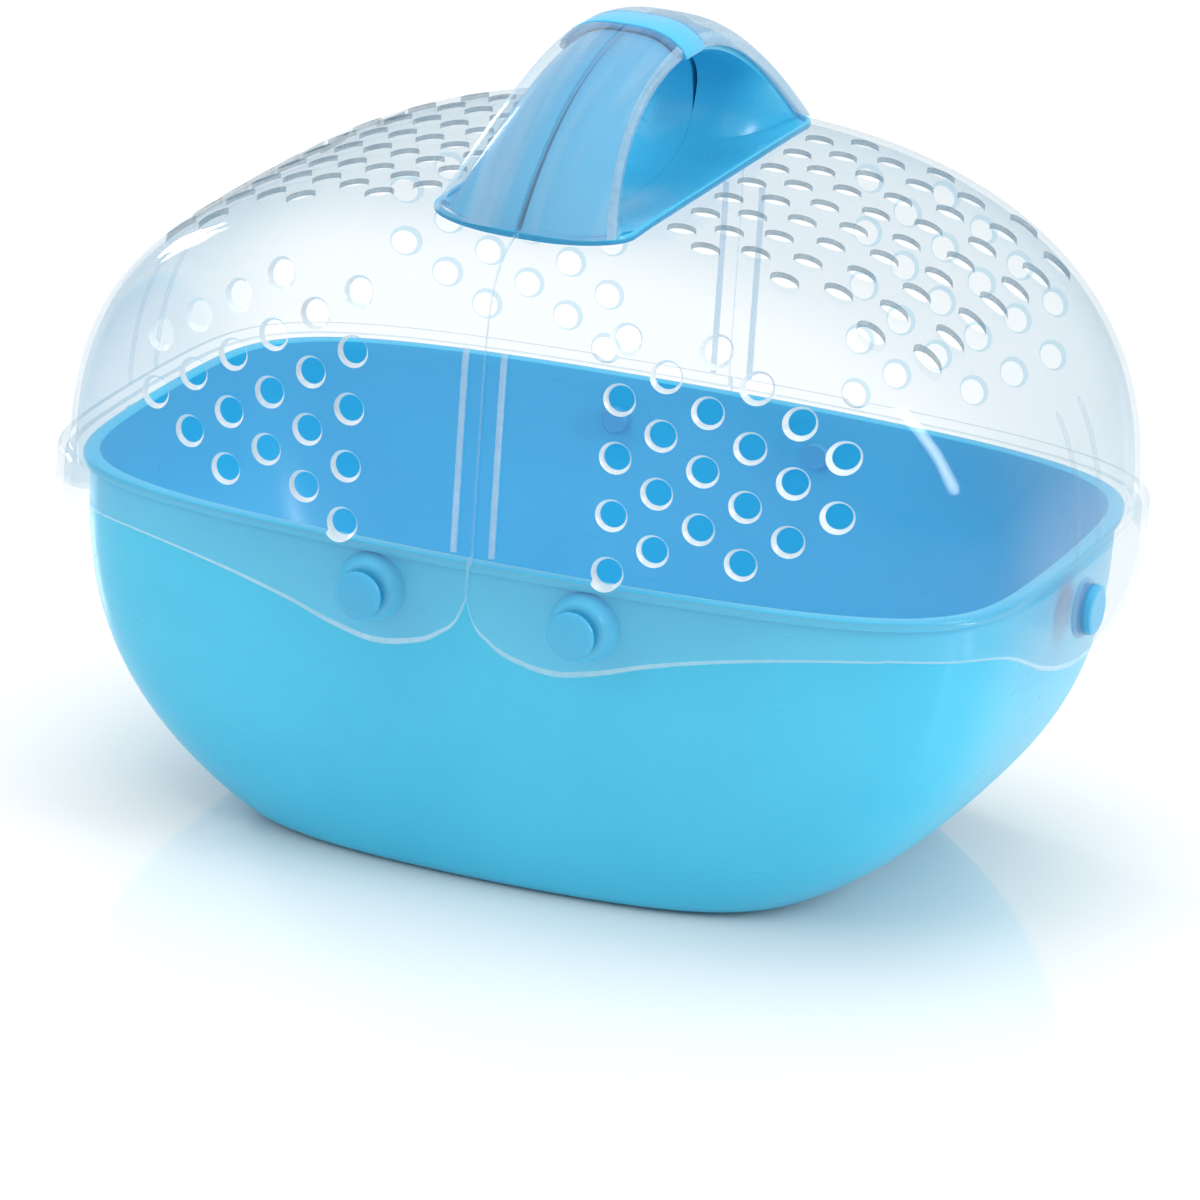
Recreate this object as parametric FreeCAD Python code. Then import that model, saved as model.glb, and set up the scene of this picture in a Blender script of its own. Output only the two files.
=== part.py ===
import FreeCAD, Part
import math
import os

# Small-animal travel carrier, millimetres, +Z up, +X along the body, front towards -Y.
# Origin: centre of the base underside. The two lid halves meet in the plane X = 0.

# Tub
rimZ = 101.0            # height of the tub's rim
tubLength = 281.0       # rim, outside
tubDepth = 187.0
baseLength = 166.0      # flat underside
baseDepth = 152.0
tubWall = 2.4
tubFloor = 2.6
rimLipWidth = 2.0       # bead round the rim, outwards
rimLipHeight = 3.0
plinthRise = 5.0        # rounded foot of the wall

# Lid
lidLength = 292.0       # dome at the rim line, outside
lidDepth = 198.0
lidRise = 94.5          # crown above the rim line
lidWall = 2.0
seamGap = 0.6           # between the two halves
endPower = 2.5          # roundness of the long profile
sidePower = 8.0         # roundness of the shoulders
planPower = 6.0         # squareness of every outline in plan
sideBow = 0.13          # how far the long sides bow out
endBow = 0.03

# Skirt below the rim line
skirtStep = 3.0         # how far it stands out from the dome
skirtShoulder = 2.4     # top of the step above the rim line
skirtWall = 2.0
earDrop = 26.5          # lowest point of the ears below the rim line
earCentreX = 28.0
skirtDrop = 9.5         # at the corners
lobeDrop = 27.0         # at each end
lobeHalf = 62.0
lobeRadius = 24.0

# Vents
ventDiameter = 7.6
ventPitchX = 12.5
ventPitchZ = 16.6
ventFirstX = 39.8
ventFirstZ = 106.2
ventRows = ((0, 2, 4, 6, 8), (1, 3, 5, 7), (2, 4, 6, 8), (1, 3, 5, 7), (2, 4, 6), (3, 5))
topVentX = (38.2, 48.9, 60.4, 72.6, 85.4, 98.8, 112.6)
topVentPitchY = 18.0
topVentReach = 64.0     # furthest vent from the middle line

# Pivots
pivotX = 32.0
pivotZ = 87.6
pinRadius = 4.0
pinFit = 0.06           # running fit in the ear
headRadius = 7.6
headHeight = 1.6
bossRadius = 9.0
sideGap = 1.4           # boss face to skirt

# End buttons
buttonRadius = 7.2
buttonZ = 87.6
buttonFit = 0.3
buttonProud = 1.8
buttonStem = 4.2
buttonTravel = 2.0
tongueHalf = 9.0        # the pair of ribs above a button
tongueRise = 45.0
seamRibX = 5.0
seamRibRise = 32.0
ribWidth = 1.4
ribHeight = 0.8

# Handle
saddleHalfX = 30.0
saddleHalfY = 66.0      # straight part of the saddle's sides
saddleNose = 15.0       # rounded front and back beyond that
bowlZ = 182.0           # lowest point of the finger bowl
bowlWall = 2.2
insertGap = 0.2
flangeWidth = 3.5
flangeWall = 1.8
archTopZ = 236.0
archFootY = 82.0
archFootZ = 194.0
gripHalf = 17.5         # half width of the grip at the top
footHalf = 28.5         # half width of the legs at the saddle
edgeDrop = 5.0          # rounded fall from crest to edge
coverWall = 2.2
coverSkirt = 2.9        # straight side below the rounded fall
coverGap = 0.15
fingerHalfY = 51.0      # inner faces of the legs
fingerTopZ = 222.5
claspHalfY = 7.0
claspWall = 2.2
claspGap = 0.35
claspPinRadius = 1.1
claspPinFit = 0.06
claspPinX = 17.6        # from the middle, on the left edge of the grip
claspPinZ = 227.4
claspLowZ = 228.4       # lower edge of the clasp's free end
barrelWall = 1.1
lugLength = 3.0
thumbLip = 1.4
archWall = 2.4          # the arch is moulded hollow
archEdge = 1.6          # thin edge of the arch

seam = seamGap / 2.0


def V(x, y, z):
    return FreeCAD.Vector(x, y, z)


def ringPoints(a, b, z, count=60):
    # squared oval |x/a|^n + |y/b|^n = 1, taken at even polar angles, with bowed sides
    pts = []
    for i in range(count):
        t = 2.0 * math.pi * i / count
        c, s = math.cos(t), math.sin(t)
        r = (abs(c) ** planPower + abs(s) ** planPower) ** (-1.0 / planPower)
        cx, sy = r * c, r * s
        pts.append(V(a * cx * (1.0 - endBow * sy * sy), b * sy * (1.0 - sideBow * cx * cx), z))
    return pts


def ring(a, b, z):
    curve = Part.BSplineCurve()
    curve.interpolate(Points=ringPoints(a, b, z), PeriodicFlag=True)
    return Part.Wire([curve.toShape()])


def ringSolid(rings):
    return Part.makeLoft([ring(*r) for r in rings], True, False)


def dome(inset, zLow):
    # outlines shrink towards the crown: a(h) = a0 (1 - h^p)^(1/p), with h the height share
    a0 = lidLength / 2.0 - inset
    b0 = lidDepth / 2.0 - inset
    rise = lidRise - inset
    rings = [(a0, b0, zLow)] if zLow < rimZ else []
    for i in range(13):
        h = math.sin(0.5 * math.pi * (i / 12.0) ** 0.85) * 0.996
        rings.append((a0 * (1.0 - h ** endPower) ** (1.0 / endPower),
                      b0 * (1.0 - h ** sidePower) ** (1.0 / sidePower), rimZ + rise * h))
    return ringSolid(rings)


def tubBody(inset, zLow):
    # the ends are full and curl in to the flat underside, the long sides slope gently
    rings = []
    height = rimZ - zLow
    for i in range(12):
        s = math.sin(0.5 * math.pi * i / 11.0)
        a = baseLength / 2.0 + (tubLength - baseLength) / 2.0 * (1.0 - s ** 3.0) ** 0.86
        b = baseDepth / 2.0 + (tubDepth - baseDepth) / 2.0 * (1.0 - s ** 2.0)
        foot = plinthRise * 0.5 * max(0.0, s - 0.9) / 0.1
        rings.append((a - inset - foot, b - inset - foot, rimZ - height * s))
    return ringSolid(rings[::-1])


def prism(wire, z0, z1):
    face = Part.Face(wire)
    face.translate(V(0, 0, z0 - face.CenterOfMass.z))
    return face.extrude(V(0, 0, z1 - z0))


def band(a, b, z0, z1):
    return prism(ring(a, b, z0), z0, z1)


def cylinderY(x, z, r, y0, y1):
    return Part.makeCylinder(r, abs(y1 - y0), V(x, min(y0, y1), z), V(0, 1, 0))


def cylinderX(y, z, r, x0, x1):
    return Part.makeCylinder(r, abs(x1 - x0), V(min(x0, x1), y, z), V(1, 0, 0))


def box(x0, x1, y0, y1, z0, z1):
    return Part.makeBox(x1 - x0, y1 - y0, z1 - z0, V(x0, y0, z0))


def mirrored(shape):
    return shape.mirror(V(0, 0, 0), V(1, 0, 0))


skirtY = lidDepth / 2.0 + skirtStep
skirtX = lidLength / 2.0 + skirtStep


def tub():
    outer = tubBody(0.0, 0.0)
    lipA = tubLength / 2.0 + rimLipWidth
    lipB = tubDepth / 2.0 + rimLipWidth
    outer = outer.fuse(band(lipA, lipB, rimZ - rimLipHeight, rimZ))
    bossFace = skirtY - skirtWall - sideGap
    for side in (-1, 1):
        for end in (-1, 1):
            outer = outer.fuse(cylinderY(side * pivotX, pivotZ, bossRadius,
                                         end * (tubDepth / 2.0 - 8.0), end * bossFace))
    inner = tubBody(tubWall, tubFloor)
    # the opening at the top is cut clear of the rim
    body = outer.cut(inner).cut(band(tubLength / 2.0 - tubWall, tubDepth / 2.0 - tubWall,
                                     rimZ - 0.4, rimZ + 1.0))
    for side in (-1, 1):
        for end in (-1, 1):
            body = body.cut(cylinderY(side * pivotX, pivotZ, pinRadius,
                                      end * (tubDepth / 2.0 - 20.0), end * (bossFace + 1.0)))
    return body


def skirtCutters():
    # lower edge seen from the front: ear near the seam, then a sweep up to the corner
    low = rimZ - 60.0
    zEar = rimZ - earDrop
    zSide = rimZ - skirtDrop
    edge = Part.BSplineCurve()
    edge.interpolate([V(-0.0, 0, rimZ - 9.0), V(-2.0, 0, rimZ - 14.5), V(-8.0, 0, rimZ - 21.0),
                      V(-18.0, 0, zEar + 1.2), V(-earCentreX, 0, zEar), V(-38.0, 0, zEar + 1.9),
                      V(-55.0, 0, rimZ - 19.4), V(-85.0, 0, rimZ - 13.0), V(-110.0, 0, zSide - 0.6),
                      V(-124.0, 0, zSide)])
    start, end = edge.StartPoint, edge.EndPoint
    wire = Part.Wire([edge.toShape(), Part.makeLine(end, V(end.x, 0, low)),
                      Part.makeLine(V(end.x, 0, low), V(start.x, 0, low)),
                      Part.makeLine(V(start.x, 0, low), start)])
    front = Part.Face(wire)
    front.translate(V(0, -skirtY - 10.0, 0))
    front = front.extrude(V(0, 2.0 * skirtY + 20.0, 0))
    lobe = Part.BSplineCurve()
    zLobe = rimZ - lobeDrop
    lobe.interpolate([V(0, -skirtY - 10.0, zSide), V(0, -lobeHalf - 18.0, zSide),
                      V(0, -lobeHalf, zSide - 1.6), V(0, -lobeRadius - 12.0, zLobe + 5.6),
                      V(0, -lobeRadius + 10.0, zLobe + 0.7), V(0, 0, zLobe),
                      V(0, lobeRadius - 10.0, zLobe + 0.7), V(0, lobeRadius + 12.0, zLobe + 5.6),
                      V(0, lobeHalf, zSide - 1.6), V(0, lobeHalf + 18.0, zSide),
                      V(0, skirtY + 10.0, zSide)])
    start, end = lobe.StartPoint, lobe.EndPoint
    wire = Part.Wire([lobe.toShape(), Part.makeLine(end, V(0, end.y, low)),
                      Part.makeLine(V(0, end.y, low), V(0, start.y, low)),
                      Part.makeLine(V(0, start.y, low), start)])
    side = Part.Face(wire)
    side.translate(V(-skirtX - 10.0, 0, 0))
    side = side.extrude(V(skirtX + 10.0 - 118.0, 0, 0))
    return front, side


def saddleWire(grow, z):
    x = saddleHalfX + grow
    y = saddleHalfY
    nose = saddleHalfY + saddleNose + grow
    corner = 0.86
    points = [V(x, -y, z), V(x * corner, -y - (nose - y) * 0.62, z), V(0, -nose, z),
              V(-x * corner, -y - (nose - y) * 0.62, z), V(-x, -y, z)]
    front = Part.BSplineCurve()
    front.interpolate(points)
    back = Part.BSplineCurve()
    back.interpolate([V(-p.x, -p.y, z) for p in points])
    return Part.Wire([front.toShape(), Part.makeLine(V(-x, -y, z), V(-x, y, z)),
                      back.toShape(), Part.makeLine(V(x, y, z), V(x, -y, z))])


def topVents():
    # staggered rows of vents over the crown, drilled straight down
    holes = []
    for k, x in enumerate(topVentX):
        shift = 0.5 * (k % 2)
        count = int(topVentReach / topVentPitchY) + 1
        for j in range(-count, count + 1):
            y = (j + shift) * topVentPitchY
            if abs(y) <= topVentReach:
                holes.append(Part.makeCylinder(ventDiameter / 2.0, 60.0, V(-x, y, rimZ + 50.0)))
    return holes


def sideVents():
    holes = []
    for k, row in enumerate(ventRows):
        x = -(ventFirstX + k * ventPitchX)
        for j in row:
            z = ventFirstZ + 0.5 * j * ventPitchZ
            for end in (-1, 1):
                holes.append(cylinderY(x, z, ventDiameter / 2.0, end * (lidDepth / 2.0 - 22.0),
                                       end * (lidDepth / 2.0 + 5.0)))
    return holes


def lidLeft():
    shell = dome(0.0, rimZ).cut(dome(lidWall, rimZ - 1.0))
    outerSkirt = band(skirtX, skirtY, rimZ - 45.0, rimZ + skirtShoulder)
    innerSkirt = band(skirtX - skirtWall, skirtY - skirtWall, rimZ - 46.0, rimZ)
    hollow = dome(lidWall, rimZ - 1.0)
    skirt = outerSkirt.cut(innerSkirt).cut(hollow)
    for cutter in skirtCutters():
        skirt = skirt.cut(cutter)
    shell = shell.fuse(skirt)
    raised = dome(-ribHeight, rimZ).cut(dome(lidWall * 0.5, rimZ - 1.0))
    top = rimZ + skirtShoulder
    ribs = []
    for end in (-1, 1):
        y0, y1 = sorted((end * 60.0, end * (skirtY + 5.0)))
        ribs.append(box(-seamRibX - ribWidth, -seamRibX, y0, y1, top - 1.0, top + seamRibRise))
        ribs.append(box(-skirtX - 5.0, -100.0, end * tongueHalf - ribWidth / 2.0,
                        end * tongueHalf + ribWidth / 2.0, top - 1.0, rimZ + tongueRise))
    shell = shell.fuse(raised.common(Part.makeCompound(ribs)))
    half = box(-skirtX - 20.0, -seam, -skirtY - 20.0, skirtY + 20.0, 0.0, archTopZ + 20.0)
    shell = shell.common(half)
    shell = shell.cut(prism(saddleWire(0.0, 0.0), rimZ + 40.0, archTopZ))
    for end in (-1, 1):
        shell = shell.cut(cylinderY(-pivotX, pivotZ, pinRadius + pinFit,
                                    end * (skirtY - 12.0), end * (skirtY + 5.0)))
    shell = shell.cut(cylinderX(0.0, buttonZ, buttonRadius + buttonFit, -skirtX - 5.0, -skirtX + 12.0))
    return shell.cut(Part.makeCompound(sideVents() + topVents()))


def archSection(angle, crest, halfWidth, fall, inside=seam):
    # outer curve of one radial section of the left half of the arch
    cz = archCentreZ()

    def place(x, r):
        return V(x, r * math.sin(angle), cz + r * math.cos(angle))
    w = halfWidth
    curve = Part.BSplineCurve()
    curve.interpolate([place(-inside, crest), place(-0.45 * w, crest - 0.10 * fall),
                       place(-0.80 * w, crest - 0.42 * fall), place(-w, crest - fall)])
    return curve, place


def archRadius():
    rise = archTopZ - archFootZ
    return (archFootY ** 2 + rise ** 2) / (2.0 * rise)


def archCentreZ():
    return archTopZ - archRadius()


def archHalfWidth(angle):
    share = min(1.0, abs(angle) / archSpan())
    return gripHalf + (footHalf - gripHalf) * share ** 2.6


def archSpan():
    return math.asin(archFootY / archRadius())


def fingerRadius(angle):
    # inner face of the arch: flat legs joined by a shallow crown
    crown = fingerTopZ - archCentreZ()
    leg = fingerHalfY / max(abs(math.sin(angle)), 1e-6)
    return (crown ** -10.0 + leg ** -10.0) ** -0.1


def archLoft(angles):
    # the inner face runs from a thin edge, deeper towards the seam, like the mouth of a trumpet
    sections = []
    for angle in angles:
        crest = archRadius() - coverWall - coverGap
        w = archHalfWidth(angle) - coverWall
        curve, place = archSection(angle, crest, w, edgeDrop)
        edge = crest - edgeDrop - archEdge
        deep = edge - min(fingerRadius(angle), edge - 0.4)
        under = Part.BSplineCurve()
        under.interpolate([place(-w, edge), place(-0.86 * w, edge - 0.42 * deep),
                           place(-0.50 * w, edge - 0.86 * deep), place(-seam, edge - deep)])
        sections.append(Part.Wire([curve.toShape(),
                                   Part.makeLine(place(-w, crest - edgeDrop), place(-w, edge)),
                                   under.toShape(),
                                   Part.makeLine(place(-seam, edge - deep), place(-seam, crest))]))
    return Part.makeLoft(sections, True, False)


def archCore(angles):
    # the hollow inside a leg, one wall in from its faces
    sections = []
    for angle in angles:
        crest = archRadius() - coverWall - coverGap
        w = 0.68 * (archHalfWidth(angle) - coverWall)
        x0 = seam + archWall
        _, place = archSection(angle, crest, w, edgeDrop)
        edge = crest - edgeDrop - archEdge
        deep = edge - fingerRadius(angle)
        corners = [place(-x0, crest - archWall), place(-w, crest - archWall - 0.36 * edgeDrop),
                   place(-w, edge - 0.6 * deep + archWall), place(-x0, edge - deep + archWall)]
        sections.append(Part.makePolygon(corners + corners[:1]))
    return Part.makeLoft(sections, True, False)


def insertArch():
    span = archSpan() * 1.03
    arch = archLoft([-span + 2.0 * span * i / 16.0 for i in range(17)])
    for sign in (-1, 1):
        arch = arch.cut(archCore([sign * span * (0.63 + 0.33 * i / 5.0) for i in range(6)]))
    return arch


def handleHalf():
    wallOuter = prism(saddleWire(-insertGap, 0.0), bowlZ - 12.0, archTopZ)
    wallInner = prism(saddleWire(-insertGap - bowlWall, 0.0), bowlZ - 13.0, archTopZ + 1.0)
    half = box(-saddleHalfX - 20.0, -seam, -skirtY, skirtY, 0.0, archTopZ + 20.0)
    proud = dome(-0.7, rimZ)
    rim = wallOuter.cut(wallInner).common(half).common(proud)
    flange = dome(lidWall + insertGap, rimZ).cut(dome(lidWall + insertGap + flangeWall, rimZ - 1.0))
    flange = flange.common(prism(saddleWire(flangeWidth, 0.0), rimZ + 40.0, archTopZ))
    flange = flange.cut(wallInner).common(half)
    # the finger bowl: a shallow trough, lowest at the seam
    edgeZ = rimZ + lidRise - 1.4
    radius = ((saddleHalfX ** 2) + (edgeZ - bowlZ) ** 2) / (2.0 * (edgeZ - bowlZ))
    trough = cylinderY(0.0, bowlZ + radius, radius + bowlWall, -archFootY, archFootY).cut(
        cylinderY(0.0, bowlZ + radius, radius, -archFootY - 1.0, archFootY + 1.0))
    trough = trough.common(wallOuter).common(half).common(proud)
    arch = insertArch().common(wallOuter)
    troughAir = cylinderY(0.0, bowlZ + radius, radius + bowlWall * 0.5, -archFootY - 5.0, archFootY + 5.0)
    arch = arch.common(troughAir)
    whole = rim.fuse([flange, trough, arch])
    # the hollow of each leg is open underneath
    for end in (-1, 1):
        y0, y1 = sorted((end * (fingerHalfY + archWall + 3.0), end * (archFootY - 14.0)))
        whole = whole.cut(box(-gripHalf + 6.0, -seam - archWall - 1.0, y0, y1,
                              bowlZ - 12.0, archFootZ + 3.0))
    return whole.removeSplitter()


def withLugs(handle):
    # lugs for the clasp's pin, one each side of the clasp
    lug = claspPinRadius + barrelWall
    for end in (-1, 1):
        y0, y1 = sorted((end * (claspHalfY + claspGap), end * (claspHalfY + claspGap + lugLength)))
        handle = handle.fuse(cylinderY(-claspPinX, claspPinZ, lug, y0, y1))
        handle = handle.fuse(box(-claspPinX, -gripHalf + coverWall + 1.0, y0, y1,
                                 claspPinZ - lug + 0.4, claspPinZ + 0.8))
    handle = handle.cut(cylinderY(-claspPinX, claspPinZ, claspPinRadius, -12.0, 12.0))
    return handle.removeSplitter()


def withPocket(handle):
    # a pocket under the clasp's free end, sloped so that the lip passes over it as a half swings
    half = claspHalfY + claspGap + 0.05
    edge, low = claspLowZ - 0.65, claspLowZ - 3.3
    corners = [V(-1.0, -half, archTopZ + 5.0), V(-1.0, -half, low), V(0.0, -half, low),
               V(gripHalf - coverWall, -half, edge), V(gripHalf + 5.0, -half, edge),
               V(gripHalf + 5.0, -half, archTopZ + 5.0)]
    pocket = Part.Face(Part.makePolygon(corners + corners[:1])).extrude(V(0, 2.0 * half, 0))
    return handle.cut(pocket).removeSplitter()


def coverLeft(sign):
    # clear cover over one leg of the arch, from the saddle to the clasp's groove
    sections = []
    start = math.asin((claspHalfY + claspGap) / (archRadius() - edgeDrop - coverSkirt))
    span = archSpan()
    for i in range(9):
        angle = sign * (start + (span - start) * i / 8.0)
        crest = archRadius()
        w = archHalfWidth(angle)
        outer, place = archSection(angle, crest, w, edgeDrop)
        inner, _ = archSection(angle, crest - coverWall, w - coverWall + coverGap, edgeDrop)
        low = crest - edgeDrop - coverSkirt
        wi = w - coverWall + coverGap
        sections.append(Part.Wire([outer.toShape(),
                                   Part.makeLine(place(-w, crest - edgeDrop), place(-w, low)),
                                   Part.makeLine(place(-w, low), place(-wi, low)),
                                   Part.makeLine(place(-wi, low), place(-wi, crest - coverWall - edgeDrop)),
                                   inner.toShape(),
                                   Part.makeLine(place(-seam, crest - coverWall), place(-seam, crest))]))
    cover = Part.makeLoft(sections, True, False)
    return cover.cut(dome(-0.9, rimZ))


def clasp():
    # a strap over the top of the grip, hinged on its left edge
    crest = archTopZ

    def profile(lift, w):
        curve = Part.BSplineCurve()
        curve.interpolate([V(-w, 0, crest - lift - edgeDrop),
                           V(-0.80 * w, 0, crest - lift - 0.42 * edgeDrop),
                           V(-0.45 * w, 0, crest - lift - 0.10 * edgeDrop), V(0, 0, crest - lift),
                           V(0.45 * w, 0, crest - lift - 0.10 * edgeDrop),
                           V(0.80 * w, 0, crest - lift - 0.42 * edgeDrop), V(w, 0, crest - lift - edgeDrop)])
        return curve
    w = gripHalf
    wi = w - coverWall + coverGap
    zTop = crest - edgeDrop
    zIn = crest - claspWall - edgeDrop
    zLow = claspLowZ
    outer, inner = profile(0.0, w), profile(claspWall, wi)
    wire = Part.Wire([outer.toShape(),
                      Part.makeLine(V(w, 0, zTop), V(w + thumbLip, 0, zLow + 1.0)),
                      Part.makeLine(V(w + thumbLip, 0, zLow + 1.0), V(w + thumbLip, 0, zLow)),
                      Part.makeLine(V(w + thumbLip, 0, zLow), V(wi, 0, zLow)),
                      Part.makeLine(V(wi, 0, zLow), V(wi, 0, zIn)),
                      inner.toShape(),
                      Part.makeLine(V(-wi, 0, zIn), V(-wi, 0, claspPinZ)),
                      Part.makeLine(V(-wi, 0, claspPinZ), V(-w, 0, claspPinZ)),
                      Part.makeLine(V(-w, 0, claspPinZ), V(-w, 0, zTop))])
    strap = Part.Face(wire)
    strap.translate(V(0, -claspHalfY, 0))
    strap = strap.extrude(V(0, 2.0 * claspHalfY, 0))
    barrel = cylinderY(-claspPinX, claspPinZ, claspPinRadius + barrelWall, -claspHalfY, claspHalfY)
    hole = cylinderY(-claspPinX, claspPinZ, claspPinRadius + claspPinFit, -12.0, 12.0)
    return strap.fuse(barrel).cut(hole).removeSplitter()


def claspPin():
    half = claspHalfY + claspGap + lugLength
    return cylinderY(-claspPinX, claspPinZ, claspPinRadius, -half, half)


def endButton(side):
    face = skirtX + buttonProud
    back = skirtX - skirtWall - insertGap
    head = cylinderX(0.0, buttonZ, buttonRadius, side * back, side * face)
    flange = cylinderX(0.0, buttonZ, buttonRadius + 1.6, side * (back - 1.2), side * back)
    stem = cylinderX(0.0, buttonZ, buttonStem / 2.0, side * (back - 2.2), side * back)
    return head.fuse([flange, stem]).removeSplitter()


def pivotPin(side, end):
    bossFace = skirtY - skirtWall - sideGap
    shank = cylinderY(side * pivotX, pivotZ, pinRadius, end * (tubDepth / 2.0 - 6.0), end * skirtY)
    head = cylinderY(side * pivotX, pivotZ, headRadius, end * (skirtY + 0.3),
                     end * (skirtY + 0.3 + headHeight))
    neck = cylinderY(side * pivotX, pivotZ, pinRadius, end * bossFace, end * (skirtY + 0.4))
    return shank.fuse([neck, head]).removeSplitter()


def build():
    left = lidLeft()
    handle = handleHalf()
    front = coverLeft(-1)
    rear = coverLeft(1)
    # room for the lugs
    notch = cylinderY(-claspPinX, claspPinZ, claspPinRadius + barrelWall + insertGap, -12.0, 12.0)
    nodes = {"tub": tub(), "lid_left": left, "lid_right": mirrored(left),
             "handle_left": withLugs(handle), "handle_right": withPocket(mirrored(handle)),
             "cover_front_left": front.cut(notch), "cover_front_right": mirrored(front),
             "cover_rear_left": rear.cut(notch), "cover_rear_right": mirrored(rear)}
    for side, sideName in ((-1, "left"), (1, "right")):
        for end, endName in ((-1, "front"), (1, "rear")):
            nodes["pivot_pin_%s_%s" % (endName, sideName)] = pivotPin(side, end)
        nodes["end_button_" + sideName] = endButton(side)
    nodes["clasp"] = clasp()
    nodes["clasp_pin"] = claspPin()
    return nodes


os.makedirs("parts", exist_ok=True)
for name, shape in build().items():
    shape.exportStep(os.path.join("parts", name + ".step"))
    print(name, shape.isValid(), len(shape.Solids), round(shape.Volume / 1000.0, 1), "cm3")
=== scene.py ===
import math

import bmesh
import bpy
import numpy as np
from mathutils import Matrix, Vector


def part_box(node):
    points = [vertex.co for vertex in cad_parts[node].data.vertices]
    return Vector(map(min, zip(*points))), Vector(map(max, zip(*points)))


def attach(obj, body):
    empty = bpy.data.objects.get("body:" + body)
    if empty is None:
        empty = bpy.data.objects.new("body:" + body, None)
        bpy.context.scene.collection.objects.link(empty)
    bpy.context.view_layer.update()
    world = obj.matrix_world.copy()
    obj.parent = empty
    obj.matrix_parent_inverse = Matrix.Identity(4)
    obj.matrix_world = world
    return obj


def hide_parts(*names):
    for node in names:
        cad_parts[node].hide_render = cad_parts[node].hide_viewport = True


# Small-animal travel carrier: blue tub, two clear vented lid halves, arched grip over the seam.
# Metres in the scene; the pieces are worked out in millimetres and scaled on the way in.

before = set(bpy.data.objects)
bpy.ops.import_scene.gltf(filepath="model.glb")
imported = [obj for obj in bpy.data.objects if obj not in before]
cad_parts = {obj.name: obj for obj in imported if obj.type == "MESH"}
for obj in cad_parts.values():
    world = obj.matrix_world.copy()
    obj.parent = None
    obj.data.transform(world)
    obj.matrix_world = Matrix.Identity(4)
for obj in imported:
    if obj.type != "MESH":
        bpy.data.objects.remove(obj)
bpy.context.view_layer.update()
print("frame loaded with", len(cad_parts), "nodes")

milli = 0.001
quarter = math.pi / 2


class Wire:
    # one shader socket that can be used in ordinary arithmetic
    def __init__(self, graph, socket):
        self.graph = graph
        self.socket = socket

    def maths(self, operation, first, second=None, clamp=False):
        values = {0: first} if second is None else {0: first, 1: second}
        return self.graph.node("Math", {"operation": operation, "use_clamp": clamp}, values)

    def __add__(self, other):
        return self.maths("ADD", self, other)

    def __sub__(self, other):
        return self.maths("SUBTRACT", self, other)

    def __rsub__(self, other):
        return self.maths("SUBTRACT", other, self)

    def __mul__(self, other):
        return self.maths("MULTIPLY", self, other)

    def __truediv__(self, other):
        return self.maths("DIVIDE", self, other)

    def __pow__(self, other):
        return self.maths("POWER", self, other)

    __radd__ = __add__
    __rmul__ = __mul__

    def clamped(self):
        return self.maths("ADD", self, 0.0, clamp=True)

    def ramp(self, low, high):
        # 0 below low, 1 above high, smooth between
        return self.graph.node("MapRange", {"interpolation_type": "SMOOTHSTEP"},
                               {"Value": self, "From Min": low, "From Max": high})


class Graph:
    def __init__(self, name):
        self.material = bpy.data.materials.new(name)
        self.material.use_nodes = True
        self.tree = self.material.node_tree
        self.tree.nodes.clear()

    def node(self, kind, settings=None, sockets=None, out=0):
        made = self.tree.nodes.new("ShaderNode" + kind)
        for key, value in (settings or {}).items():
            setattr(made, key, value)
        for key, value in (sockets or {}).items():
            if isinstance(value, Wire):
                self.tree.links.new(value.socket, made.inputs[key])
            else:
                made.inputs[key].default_value = value
        return Wire(self, made.outputs[out])

    def place(self):
        return self.node("TexCoord", out="Object")

    def stretched(self, where, scale, turn=(0.0, 0.0, 0.0)):
        return self.node("Mapping", None, {"Vector": where, "Scale": scale, "Rotation": turn})

    def noise(self, where, scale, detail=3.0, rough=0.55, warp=0.0):
        return self.node("TexNoise", None, {"Vector": where, "Scale": scale, "Detail": detail,
                                            "Roughness": rough, "Distortion": warp})

    def blendColour(self, share, low, high):
        return self.node("Mix", {"data_type": "RGBA"},
                         {"Factor": share, "A": (*low, 1.0) if isinstance(low, tuple) else low,
                          "B": (*high, 1.0) if isinstance(high, tuple) else high}, out="Result")

    def bump(self, height, distance, strength=1.0):
        return self.node("Bump", None, {"Height": height, "Distance": distance, "Strength": strength})

    def mixed(self, share, first, second):
        return self.node("MixShader", None, {0: share, 1: first, 2: second})

    def finish(self, shader):
        end = self.tree.nodes.new("ShaderNodeOutputMaterial")
        self.tree.links.new(shader.socket, end.inputs["Surface"])
        return self.material


def bluePlastic(name, deep, pale, rough, coat=0.0):
    # moulded polypropylene: a fine cast texture, slow clouding of the pigment, a few handling marks
    g = Graph(name)
    where = g.place()
    cloud = g.noise(where, 9.0, 4.0, 0.6)
    cast = g.noise(where, 850.0, 2.0, 0.5)
    marks = g.noise(g.stretched(where, (14.0, 60.0, 220.0), (0.2, 0.5, 0.3)), 3.0, 3.0, 0.7).ramp(0.66, 0.74)
    smear = g.noise(where, 28.0, 5.0, 0.65, 0.4)
    colour = g.blendColour((cloud * 0.8 + smear * 0.2).ramp(0.36, 0.66), deep, pale)
    shine = (rough + 0.10 * (smear - 0.5) + 0.05 * (cast - 0.5) - 0.06 * marks).clamped()
    relief = g.bump(cast * 0.7 + smear * 0.3, 0.00012, 0.35)
    return g.finish(g.node("BsdfPrincipled", None, {
        "Base Color": colour, "Roughness": shine, "Normal": relief, "IOR": 1.49,
        "Coat Weight": coat, "Coat Roughness": 0.12}))


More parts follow.
